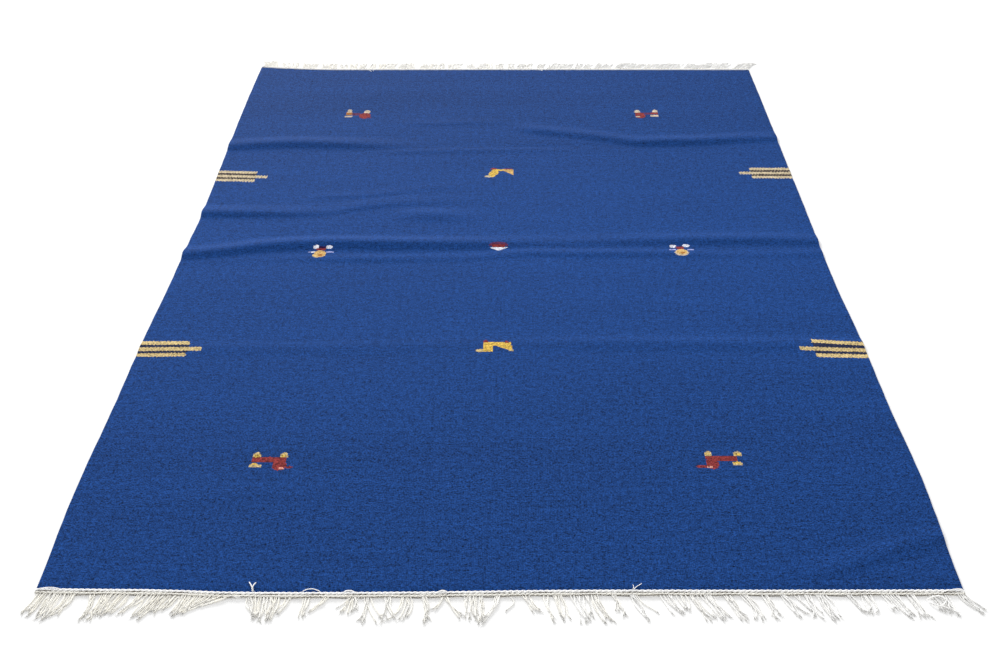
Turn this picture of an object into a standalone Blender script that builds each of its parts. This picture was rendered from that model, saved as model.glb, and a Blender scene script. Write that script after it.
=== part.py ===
"""A flat-woven wool rug lying on a floor, with twined cotton ends and knotted fringes.

The origin is on the floor under the middle of the rug. +X runs to the right side, +Y to the far end, +Z up.
"""

import math
import random

import bmesh
import bpy

# Driving dimensions, in metres
CLOTH_THICKNESS = 0.003
PIECE_GAP = 0.0003
CORD_RADIUS = 0.003
HEADING_WIDTH = 0.005
HEADING_HEIGHT = 0.003
STRAND_ROOT_WIDTH = 0.0036
STRAND_ROOT_GAP = 0.0010
STRAND_TIP_WIDTH = 0.0026
STRAND_TIP_HEIGHT = 0.0020
TASSEL_TIP_SPREAD = 0.0170
TASSEL_WANDER = 0.0040
CORNER_PULL = 0.0080
STRAND_CURL = 0.0012
STRAND_BEND = 1.15

# How finely the cloth is divided. Two tassels hang from each of its columns.
COLUMNS = 25
TASSELS_PER_COLUMN = 2
FOLD_ROW_STEP = 0.018
FLAT_ROW_STEP = 0.080
# The share of the rug's length in which its selvedges run into the points of its ends.
END_STRETCH = 0.08

# The selvedges wander a little. Columns: y, x of the left selvedge, x of the right selvedge.
SELVEDGES = [
    (-1.210, -0.8575, 0.8520),
    (-1.080, -0.8630, 0.8560),
    (-0.880, -0.8640, 0.8600),
    (-0.680, -0.8600, 0.8535),
    (-0.400, -0.8580, 0.8510),
    (-0.200, -0.8520, 0.8443),
    (0.030, -0.8490, 0.8430),
    (0.150, -0.8455, 0.8440),
    (0.500, -0.8500, 0.8440),
    (0.900, -0.8555, 0.8440),
    (1.210, -0.8550, 0.8430),
]

# The woven ends wander too. Columns: x, y of the near end, y of the far end.
WOVEN_ENDS = [
    (-0.870, -1.2020, 1.2190),
    (-0.760, -1.2035, 1.2030),
    (-0.620, -1.2045, 1.1925),
    (-0.500, -1.2095, 1.1915),
    (-0.180, -1.2080, 1.1918),
    (0.120, -1.2020, 1.1915),
    (0.500, -1.2000, 1.1906),
    (0.870, -1.1975, 1.1900),
]

# Low folds left by packing, each a ridge that runs across the rug.
# far_side and near_side are how far the ridge spreads from its crest.
# The crest's columns: x, y, how high the cloth lifts off the floor.
FOLDS = {
    "far_left": {
        "far_side": 0.060,
        "near_side": 0.037,
        "crest": [
            (-0.87, 0.602, 0.0066),
            (-0.75, 0.616, 0.0082),
            (-0.65, 0.622, 0.0088),
            (-0.50, 0.616, 0.0075),
            (-0.40, 0.612, 0.0048),
            (-0.28, 0.606, 0.0012),
            (-0.16, 0.600, 0.0000),
        ],
    },
    "far_right": {
        "far_side": 0.057,
        "near_side": 0.032,
        "crest": [
            (0.02, 0.732, 0.0000),
            (0.10, 0.712, 0.0056),
            (0.20, 0.690, 0.0058),
            (0.30, 0.664, 0.0066),
            (0.40, 0.632, 0.0074),
            (0.50, 0.633, 0.0090),
            (0.60, 0.637, 0.0086),
            (0.70, 0.649, 0.0076),
            (0.80, 0.657, 0.0058),
            (0.87, 0.660, 0.0054),
        ],
    },
    "left_side": {
        "far_side": 0.056,
        "near_side": 0.027,
        "crest": [
            (-0.87, 0.189, 0.0076),
            (-0.70, 0.189, 0.0066),
            (-0.58, 0.188, 0.0046),
            (-0.48, 0.198, 0.0025),
            (-0.40, 0.227, 0.0032),
            (-0.30, 0.246, 0.0028),
            (-0.05, 0.270, 0.0000),
        ],
    },
    "middle": {
        "far_side": 0.050,
        "near_side": 0.031,
        "crest": [
            (-0.87, -0.034, 0.0076),
            (-0.75, -0.014, 0.0088),
            (-0.65, 0.010, 0.0098),
            (-0.50, 0.026, 0.0106),
            (-0.35, 0.025, 0.0108),
            (-0.20, 0.024, 0.0094),
            (-0.05, 0.025, 0.0072),
            (0.08, 0.031, 0.0040),
            (0.20, 0.034, 0.0038),
            (0.32, 0.040, 0.0046),
            (0.50, 0.045, 0.0070),
            (0.70, 0.046, 0.0070),
            (0.87, 0.040, 0.0052),
        ],
    },
    "middle_ripple": {
        "far_side": 0.030,
        "near_side": 0.026,
        "crest": [
            (-0.87, -0.082, 0.0006),
            (-0.70, -0.060, 0.0006),
            (-0.58, -0.050, 0.0016),
            (-0.38, -0.050, 0.0038),
            (-0.10, -0.044, 0.0022),
            (0.06, -0.021, 0.0036),
            (0.20, -0.024, 0.0040),
            (0.40, -0.022, 0.0038),
            (0.62, -0.028, 0.0018),
            (0.87, -0.020, 0.0030),
        ],
    },
    "left_middle": {
        "far_side": 0.045,
        "near_side": 0.052,
        "crest": [
            (-0.32, 0.184, 0.0000),
            (-0.21, 0.182, 0.0056),
            (-0.12, 0.176, 0.0026),
            (-0.04, 0.170, 0.0000),
        ],
    },
    "near_middle": {
        "far_side": 0.030,
        "near_side": 0.044,
        "crest": [
            (-0.87, -0.446, 0.0020),
            (-0.45, -0.445, 0.0022),
            (0.00, -0.428, 0.0015),
            (0.20, -0.424, 0.0035),
            (0.60, -0.426, 0.0040),
            (0.87, -0.428, 0.0030),
        ],
    },
    "near_corner": {
        "far_side": 0.040,
        "near_side": 0.036,
        "crest": [
            (0.52, -1.157, 0.0000),
            (0.62, -1.146, 0.0028),
            (0.72, -1.108, 0.0042),
            (0.87, -1.052, 0.0028),
        ],
    },
}

# How the tassels lie. Columns: x, lean to the right in degrees, reach away from the heading.
NEAR_TASSELS = [
    (-0.85, -10, 0.054),
    (-0.79, -16, 0.056),
    (-0.74, -12, 0.058),
    (-0.68, -27, 0.054),
    (-0.62, -31, 0.056),
    (-0.56, -36, 0.048),
    (-0.50, -48, 0.038),
    (-0.45, -12, 0.052),
    (-0.39, -18, 0.050),
    (-0.32, -25, 0.047),
    (-0.25, -8, 0.060),
    (-0.14, 4, 0.062),
    (-0.08, 9, 0.058),
    (-0.01, -3, 0.058),
    (0.06, 19, 0.056),
    (0.17, 18, 0.066),
    (0.24, 24, 0.063),
    (0.30, 30, 0.050),
    (0.42, 21, 0.063),
    (0.52, 29, 0.057),
    (0.59, 23, 0.062),
    (0.66, 20, 0.047),
    (0.75, 25, 0.054),
    (0.85, 38, 0.042),
]
FAR_TASSELS = [
    (-0.85, -6, 0.056),
    (-0.55, 0, 0.058),
    (-0.20, 2, 0.060),
    (0.10, 10, 0.058),
    (0.45, 25, 0.058),
    (0.72, 28, 0.056),
    (0.85, 31, 0.056),
]

# One row for each end of the rug: outward is the way its tassels point along Y.
# strands is how many hang in a tassel, and steps how many straight stretches a strand has.
ENDS = {
    "near": {"outward": -1, "edge": 0, "tassels": NEAR_TASSELS, "strands": 3, "steps": 3, "seed": 11},
    "far": {"outward": 1, "edge": 1, "tassels": FAR_TASSELS, "strands": 3, "steps": 2, "seed": 12},
}

# Colours in linear light
WOOL_BLUE = (0.030, 0.085, 0.300, 1.0)
COTTON_CREAM = (0.830, 0.800, 0.720, 1.0)
WOOL_ROUGHNESS = 0.95
COTTON_ROUGHNESS = 0.90


def read_table(table, place):
    """Reads the columns after the first, at a place between a table's rows, on a smooth curve."""
    place = min(max(place, table[0][0]), table[-1][0])
    row = 0
    while place > table[row + 1][0]:
        row += 1
    low, high = table[row], table[row + 1]
    before, after = table[max(row - 1, 0)], table[min(row + 2, len(table) - 1)]
    span = high[0] - low[0]
    share = (place - low[0]) / span
    values = []
    for column in range(1, len(low)):
        slope_low = (high[column] - before[column]) / (high[0] - before[0]) * span
        slope_high = (after[column] - low[column]) / (after[0] - low[0]) * span
        rise = high[column] - low[column]
        curved = (slope_low + slope_high - 2 * rise) * share + (3 * rise - 2 * slope_low - slope_high)
        values.append(low[column] + slope_low * share + curved * share * share)
    return values


def end_point(share, edge):
    """A point of a woven end, at a share of the way from the left selvedge to the right one.

    Between the cloth's columns the end is straight, so that what lies along it keeps one gap.
    """
    column = min(int(share * COLUMNS), COLUMNS - 1)
    left, right = read_table(SELVEDGES, WOVEN_ENDS[0][1 + edge])
    points = []
    for station in (column, column + 1):
        x = left + (right - left) * station / COLUMNS
        points.append((x, read_table(WOVEN_ENDS, x)[edge]))
    between = share * COLUMNS - column
    return tuple(a + (b - a) * between for a, b in zip(*points))


def cloth_lift(x, y):
    """How high the folds lift the cloth's underside off the floor."""
    lift = 0.0
    for fold in FOLDS.values():
        crest = fold["crest"]
        if not crest[0][0] <= x <= crest[-1][0]:
            continue
        crest_y, height = read_table(crest, x)
        away = y - crest_y
        spread = fold["far_side"] if away > 0 else fold["near_side"]
        if abs(away) < spread:
            lift += max(height, 0.0) * (0.5 + 0.5 * math.cos(math.pi * away / spread))
    return lift


def cloth_rows():
    """The shares of the way from the near end to the far one at which the cloth has a row of points."""
    near, far = WOVEN_ENDS[0][1], WOVEN_ENDS[0][2]
    bands = []
    for fold in FOLDS.values():
        crest = [row[1] for row in fold["crest"]]
        bands.append((min(crest) - fold["near_side"], max(crest) + fold["far_side"]))
    rows = [near]
    while rows[-1] < far:
        y = rows[-1]
        in_fold = any(low - FOLD_ROW_STEP < y < high for low, high in bands)
        rows.append(y + (FOLD_ROW_STEP if in_fold else FLAT_ROW_STEP))
    stretch = (far - near) / (rows[-1] - near)
    return [(y - near) * stretch / (far - near) for y in rows]


def cloth_point(across, along):
    """A point of the cloth's underside, at shares of the way across and along it."""
    near_x, near_y = end_point(across, 0)
    far_x, far_y = end_point(across, 1)
    y = near_y + (far_y - near_y) * along
    left, right = read_table(SELVEDGES, y)
    middle_x = left + (right - left) * across
    straight_x = near_x + (far_x - near_x) * along
    # The selvedge table gives way to the end's own points in the last stretch of cloth.
    inside = min(1.0, along / END_STRETCH, (1.0 - along) / END_STRETCH)
    x = straight_x + (middle_x - straight_x) * inside
    return x, y, cloth_lift(x, y)


def new_object(name, mesh, material, collection):
    """Puts a mesh in the scene as an object with one material."""
    piece = bpy.data.objects.new(name, mesh)
    piece.data.materials.append(material)
    collection.objects.link(piece)
    return piece


def make_material(name, colour, roughness):
    """A Principled material for cloth or yarn."""
    material = bpy.data.materials.new(name)
    material.use_nodes = True
    shader = material.node_tree.nodes["Principled BSDF"]
    shader.inputs["Base Color"].default_value = colour
    shader.inputs["Roughness"].default_value = roughness
    shader.inputs["Metallic"].default_value = 0.0
    return material


def make_field(collection, wool):
    """The woven field: a grid on the rug's outline and folds, thickened upwards."""
    rows = cloth_rows()
    sheet = bmesh.new()
    bmesh.ops.create_grid(sheet, x_segments=COLUMNS, y_segments=len(rows) - 1, size=0.5)
    for point in sheet.verts:
        across = round((point.co.x + 0.5) * COLUMNS) / COLUMNS
        row = round((point.co.y + 0.5) * (len(rows) - 1))
        point.co = cloth_point(across, rows[row])
    mesh = bpy.data.meshes.new("woven_field")
    sheet.to_mesh(mesh)
    sheet.free()
    mesh.shade_smooth()
    field = new_object("woven_field", mesh, wool, collection)
    thickness = field.modifiers.new("cloth_thickness", "SOLIDIFY")
    thickness.thickness = CLOTH_THICKNESS
    thickness.offset = 1.0
    return field


def make_end_cord(name, end, collection, cotton):
    """The twined cord along a woven end: a round tube that rests on the floor."""
    curve = bpy.data.curves.new(name, "CURVE")
    curve.dimensions = "3D"
    curve.bevel_depth = CORD_RADIUS
    curve.bevel_resolution = 2
    curve.use_fill_caps = True
    spline = curve.splines.new("POLY")
    spline.points.add(COLUMNS)
    centre_away = PIECE_GAP + CORD_RADIUS
    for station, point in enumerate(spline.points):
        x, y = end_point(station / COLUMNS, end["edge"])
        point.co = (x, y + end["outward"] * centre_away, CORD_RADIUS, 1.0)
    return new_object(name, curve, cotton, collection)


def strand_course(strand, end, root_x, start, dice):
    """The places of a strand's steps on the floor, each with its width and height."""
    lean, reach = read_table(end["tassels"], root_x)
    side = strand - (end["strands"] - 1) / 2
    reach *= 1.0 - 0.05 * abs(side) + dice.uniform(-0.03, 0.03)
    tip_x = root_x + reach * math.tan(math.radians(lean)) + side * TASSEL_TIP_SPREAD / 2
    curl = dice.uniform(-STRAND_CURL, STRAND_CURL)
    course = []
    for step in range(1, end["steps"] + 1):
        share = step / end["steps"]
        bend = share**STRAND_BEND
        x = start.x + (tip_x - start.x) * bend + curl * math.sin(math.pi * share)
        y = start.y + end["outward"] * reach * share
        width = STRAND_ROOT_WIDTH + (STRAND_TIP_WIDTH - STRAND_ROOT_WIDTH) * share
        height = HEADING_HEIGHT + (STRAND_TIP_HEIGHT - HEADING_HEIGHT) * share
        course.append((x, y, width, height))
    return course


def draw_strand(mesh, root, course, start, outward):
    """Extrudes a strand from its root face along its course, its flat side down on the floor."""
    face = root
    last_x, last_y = start.x, start.y
    for x, y, width, height in course:
        run = math.hypot(x - last_x, y - last_y)
        across_x = abs(y - last_y) / run
        across_y = -outward * (x - last_x) / run
        face = bmesh.ops.extrude_discrete_faces(mesh, faces=[face])["faces"][0]
        low_to_high = sorted(face.verts, key=lambda corner: corner.co.z)
        for level, pair in enumerate((low_to_high[:2], low_to_high[2:])):
            half = width / 2 if level == 0 else width / 4
            for corner, side in zip(sorted(pair, key=lambda corner: corner.co.x), (-1, 1)):
                corner.co = (x + side * half * across_x, y + side * half * across_y, level * height)
        last_x, last_y = x, y


def open_roots(mesh, side_face, root_x, strands):
    """Divides a side face of the heading, and returns the faces that its strands grow from."""
    rungs = [edge for edge in side_face.edges if edge.verts[0].co.z == edge.verts[1].co.z]
    left, right = sorted((corner.co.copy() for corner in rungs[0].verts), key=lambda place: place.x)
    added = bmesh.ops.subdivide_edges(mesh, edges=rungs, cuts=2 * strands)["geom_inner"]
    points = [item for item in added if isinstance(item, bmesh.types.BMVert)]
    points.sort(key=lambda point: point.co.x)
    roots = []
    for strand in range(strands):
        middle = root_x + (strand - (strands - 1) / 2) * (STRAND_ROOT_WIDTH + STRAND_ROOT_GAP)
        corners = points[4 * strand : 4 * strand + 4]
        for corner, side in zip(corners, (-1, -1, 1, 1)):
            corner.co.x = middle + side * STRAND_ROOT_WIDTH / 2
            share = (corner.co.x - left.x) / (right.x - left.x)
            corner.co.y = left.y + (right.y - left.y) * share
        shared = set.intersection(*(set(corner.link_faces) for corner in corners))
        roots.append(shared.pop())
    return roots


def make_fringe(name, end, collection, cotton):
    """The knotted fringe of one end: a narrow heading, and the strands of its tassels."""
    tassels = COLUMNS * TASSELS_PER_COLUMN
    inner_away = 2 * (PIECE_GAP + CORD_RADIUS)
    bm = bmesh.new()
    bmesh.ops.create_grid(bm, x_segments=tassels, y_segments=1, size=0.5)
    for point in bm.verts:
        away = inner_away + (HEADING_WIDTH if point.co.y * end["outward"] > 0 else 0.0)
        x, y = end_point(round((point.co.x + 0.5) * tassels) / tassels, end["edge"])
        point.co = (x, y + end["outward"] * away, 0.0)
    raised = bmesh.ops.extrude_face_region(bm, geom=bm.faces[:], use_keep_orig=True)["geom"]
    raised = [item for item in raised if isinstance(item, bmesh.types.BMVert)]
    bmesh.ops.translate(bm, verts=raised, vec=(0.0, 0.0, HEADING_HEIGHT))
    bmesh.ops.recalc_face_normals(bm, faces=bm.faces)
    outer_sides = [face for face in bm.faces if face.normal.y * end["outward"] > 0.9]
    outer_sides.sort(key=lambda face: face.calc_center_median().x)
    dice = random.Random(end["seed"])
    for tassel, side_face in enumerate(outer_sides):
        middle = side_face.calc_center_median()
        root_x = middle.x + dice.uniform(-TASSEL_WANDER, TASSEL_WANDER)
        if tassel in (0, tassels - 1):
            root_x = middle.x + math.copysign(CORNER_PULL, middle.x)
        roots = open_roots(bm, side_face, root_x, end["strands"])
        for strand, root in enumerate(roots):
            start = root.calc_center_median()
            course = strand_course(strand, end, root_x, start, dice)
            draw_strand(bm, root, course, start, end["outward"])
    mesh = bpy.data.meshes.new(name)
    bm.to_mesh(mesh)
    bm.free()
    return new_object(name, mesh, cotton, collection)


def main():
    for old in list(bpy.data.objects):
        bpy.data.objects.remove(old, do_unlink=True)
    collection = bpy.data.collections.new("kilim_rug")
    bpy.context.scene.collection.children.link(collection)
    wool = make_material("blue_wool", WOOL_BLUE, WOOL_ROUGHNESS)
    cotton = make_material("cream_cotton", COTTON_CREAM, COTTON_ROUGHNESS)
    make_field(collection, wool)
    for end_name, end in ENDS.items():
        make_end_cord(end_name + "_end_cord", end, collection, cotton)
        make_fringe(end_name + "_fringe", end, collection, cotton)


main()
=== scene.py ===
"""Looks of a flat-woven wool rug with twined cotton ends and knotted fringes, lying on a pale floor.

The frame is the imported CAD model: origin on the floor under the rug's middle, +X right, +Y to the far end.
"""

import math
import random

import bmesh
import bpy
from mathutils import Matrix, Vector, noise


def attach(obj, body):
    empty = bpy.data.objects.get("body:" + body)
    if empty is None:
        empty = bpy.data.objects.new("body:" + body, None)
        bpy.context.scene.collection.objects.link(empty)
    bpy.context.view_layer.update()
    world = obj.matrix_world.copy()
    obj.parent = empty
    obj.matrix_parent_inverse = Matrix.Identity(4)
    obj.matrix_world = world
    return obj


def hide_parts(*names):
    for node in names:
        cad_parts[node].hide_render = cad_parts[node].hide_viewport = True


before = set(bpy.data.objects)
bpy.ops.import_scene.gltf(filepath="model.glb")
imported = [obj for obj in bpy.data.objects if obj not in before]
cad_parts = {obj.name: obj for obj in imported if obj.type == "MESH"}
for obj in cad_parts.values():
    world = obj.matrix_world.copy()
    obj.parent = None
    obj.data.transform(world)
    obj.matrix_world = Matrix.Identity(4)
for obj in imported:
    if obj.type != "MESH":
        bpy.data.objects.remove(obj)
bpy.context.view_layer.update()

# Camera and lights
CAMERA_PLACE = (0.0191, -2.7184, 1.6629)
CAMERA_DOWN = 35.436
CAMERA_TURN = 0.645
CAMERA_ROLL = -0.289
CAMERA_LENS = 42.94
SENSOR_WIDTH = 36.0
CAMERA_CLIP_START = 0.05
CAMERA_CLIP_END = 60.0
WORLD_COLOUR = (1.0, 1.0, 1.0, 1.0)
WORLD_STRENGTH = 0.87
# One wide soft light, low behind the rug's far end, so that its folds show
LIGHT_PLACE = (-4.5, 15.0, 4.8)
LIGHT_SIZE = 7.0
LIGHT_POWER = 3600.0
FLOOR_SIZE = 24.0
FLOOR_COLOUR = (0.945, 0.945, 0.945, 1.0)
FLOOR_ROUGHNESS = 0.9

# Sizes that the looks share with the CAD model, in metres
CLOTH_THICKNESS = 0.003
PIECE_GAP = 0.0003
CORD_RADIUS = 0.003
END_COLUMNS = 25
END_STRETCH = 0.08
FLAT_END = 0.03

# The selvedges wander a little. Columns: y, x of the left selvedge, x of the right selvedge.
SELVEDGES = [
    (-1.210, -0.8575, 0.8520),
    (-1.080, -0.8630, 0.8560),
    (-0.880, -0.8640, 0.8600),
    (-0.680, -0.8600, 0.8535),
    (-0.400, -0.8580, 0.8510),
    (-0.200, -0.8520, 0.8443),
    (0.030, -0.8490, 0.8430),
    (0.150, -0.8455, 0.8440),
    (0.500, -0.8500, 0.8440),
    (0.900, -0.8555, 0.8440),
    (1.210, -0.8550, 0.8430),
]

# The woven ends wander too. Columns: x, y of the near end, y of the far end.
WOVEN_ENDS = [
    (-0.870, -1.2020, 1.2190),
    (-0.760, -1.2035, 1.2030),
    (-0.620, -1.2045, 1.1925),
    (-0.500, -1.2095, 1.1915),
    (-0.180, -1.2080, 1.1918),
    (0.120, -1.2020, 1.1915),
    (0.500, -1.2000, 1.1906),
    (0.870, -1.1975, 1.1900),
]

# Low folds left by packing. Columns: how far the ridge spreads to the far side of its crest, to the
# near side, and its crest as rows of x, y and how high the cloth lifts.
FOLDS = [
    (0.060, 0.037, [
        (-0.87, 0.602, 0.0066), (-0.75, 0.616, 0.0082), (-0.65, 0.622, 0.0088), (-0.50, 0.616, 0.0075),
        (-0.40, 0.612, 0.0048), (-0.28, 0.606, 0.0012), (-0.16, 0.600, 0.0000),
    ]),
    (0.057, 0.032, [
        (0.02, 0.732, 0.0000), (0.10, 0.712, 0.0056), (0.20, 0.690, 0.0058), (0.30, 0.664, 0.0066),
        (0.40, 0.632, 0.0074), (0.50, 0.633, 0.0090), (0.60, 0.637, 0.0086), (0.70, 0.649, 0.0076),
        (0.80, 0.657, 0.0058), (0.87, 0.660, 0.0054),
    ]),
    (0.056, 0.027, [
        (-0.87, 0.189, 0.0076), (-0.70, 0.189, 0.0066), (-0.58, 0.188, 0.0046), (-0.48, 0.198, 0.0025),
        (-0.40, 0.227, 0.0032), (-0.30, 0.246, 0.0028), (-0.05, 0.270, 0.0000),
    ]),
    (0.050, 0.031, [
        (-0.87, -0.034, 0.0076), (-0.75, -0.014, 0.0088), (-0.65, 0.010, 0.0098), (-0.50, 0.026, 0.0106),
        (-0.35, 0.025, 0.0108), (-0.20, 0.024, 0.0094), (-0.05, 0.025, 0.0072), (0.08, 0.031, 0.0040),
        (0.20, 0.034, 0.0038), (0.32, 0.040, 0.0046), (0.50, 0.045, 0.0070), (0.70, 0.046, 0.0070),
        (0.87, 0.040, 0.0052),
    ]),
    (0.030, 0.026, [
        (-0.87, -0.082, 0.0006), (-0.70, -0.060, 0.0006), (-0.58, -0.050, 0.0016), (-0.38, -0.050, 0.0038),
        (-0.10, -0.044, 0.0022), (0.06, -0.021, 0.0036), (0.20, -0.024, 0.0040), (0.40, -0.022, 0.0038),
        (0.62, -0.028, 0.0018), (0.87, -0.020, 0.0030),
    ]),
    (0.045, 0.052, [
        (-0.32, 0.184, 0.0000), (-0.21, 0.182, 0.0056), (-0.12, 0.176, 0.0026), (-0.04, 0.170, 0.0000),
    ]),
    (0.030, 0.044, [
        (-0.87, -0.446, 0.0020), (-0.45, -0.445, 0.0022), (0.00, -0.428, 0.0015),
        (0.20, -0.424, 0.0035), (0.60, -0.426, 0.0040), (0.87, -0.428, 0.0030),
    ]),
    (0.040, 0.036, [
        (0.52, -1.157, 0.0000), (0.62, -1.146, 0.0028), (0.72, -1.108, 0.0042), (0.87, -1.052, 0.0028),
    ]),
]

# Fine creases, which only the looks have. Columns as for the folds. A height below nought is a trough.
CREASES = [
    (0.022, 0.028, [
        (-0.42, 0.564, 0.0), (-0.30, 0.568, 0.0019), (-0.20, 0.573, 0.0019), (-0.08, 0.577, 0.0018),
        (0.14, 0.578, 0.0011), (0.26, 0.580, 0.0),
    ]),
    (0.016, 0.016, [
        (0.00, 0.600, 0.0), (0.14, 0.601, -0.0018), (0.30, 0.606, -0.0032), (0.42, 0.600, -0.0014),
        (0.50, 0.600, 0.0),
    ]),
    (0.034, 0.016, [
        (-0.58, 0.268, 0.0), (-0.52, 0.284, 0.0016), (-0.40, 0.290, 0.0019), (-0.20, 0.335, 0.0014),
        (-0.04, 0.352, 0.0),
    ]),
    (0.034, 0.024, [
        (-0.38, 0.766, 0.0), (-0.22, 0.762, 0.0019), (-0.08, 0.772, 0.0015), (0.03, 0.770, 0.0),
    ]),
    (0.012, 0.010, [(0.08, 0.806, 0.0), (0.13, 0.812, 0.0008), (0.19, 0.812, 0.0)]),
    (0.012, 0.010, [(0.27, 0.900, 0.0), (0.38, 0.905, 0.0008), (0.52, 0.906, 0.0)]),
    (0.014, 0.012, [(0.03, -0.812, 0.0), (0.12, -0.816, 0.0009), (0.22, -0.812, 0.0)]),
    (0.018, 0.014, [
        (-0.80, -0.985, 0.0), (-0.70, -0.978, 0.0008), (-0.48, -0.945, 0.0008), (-0.36, -0.936, 0.0),
    ]),
    (0.026, 0.018, [
        (-0.56, 0.860, 0.0), (-0.50, 0.915, 0.0010), (-0.42, 0.998, 0.0012), (-0.32, 1.105, 0.0),
    ]),
]
CENTRE_CREASE_X = -0.012
CENTRE_CREASE_DEPTH = 0.0006
CENTRE_CREASE_SPREAD = 0.009
COCKLE = 0.0006
COCKLE_LENGTH = 0.16
COCKLE_PLACE = 3.7

# How finely the cloth is divided, and where it is cut finer for the motifs
SHEET_COLUMNS = 100
FOLD_ROW_STEP = 0.0080
FLAT_ROW_STEP = 0.0160
MOTIF_CUTS = 5
EDGE_WOBBLE = 0.0009
EDGE_WOBBLE_WAVES = 24.0
EDGE_WOBBLE_COLUMNS = 60.0
EDGE_WOBBLE_ACROSS = 9.0
EDGE_ROUND = 0.0009
EDGE_ROUND_SEGMENTS = 2
EDGE_ROUND_ANGLE = 60.0
# Figures are looked up by square tiles of the chart, and a face within a shape's margin is cut finer
SHAPE_TILE = 0.1
SHAPE_TILE_REACH = 0.06
SHAPE_MARGIN = 0.001

# Yarn colours in linear light
YARNS = {
    "blue": (0.0092, 0.0446, 0.1810),
    "gold": (0.4900, 0.3150, 0.1150),
    "yellow": (0.5700, 0.3750, 0.0700),
    "straw": (0.5000, 0.3800, 0.1750),
    "sand": (0.4650, 0.3850, 0.2500),
    "oatmeal": (0.4900, 0.4050, 0.3100),
    "brick": (0.2150, 0.0320, 0.0300),
    "mauve": (0.1000, 0.0260, 0.0700),
    "cream": (0.6600, 0.6700, 0.7500),
    "lilac": (0.2700, 0.2900, 0.5200),
    "rose": (0.7200, 0.3400, 0.2600),
    "umber": (0.3300, 0.1300, 0.0250),
    "dusk": (0.0300, 0.0100, 0.0600),
    "navy": (0.0180, 0.0230, 0.0550),
    "bark": (0.0380, 0.0280, 0.0300),
}

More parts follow.
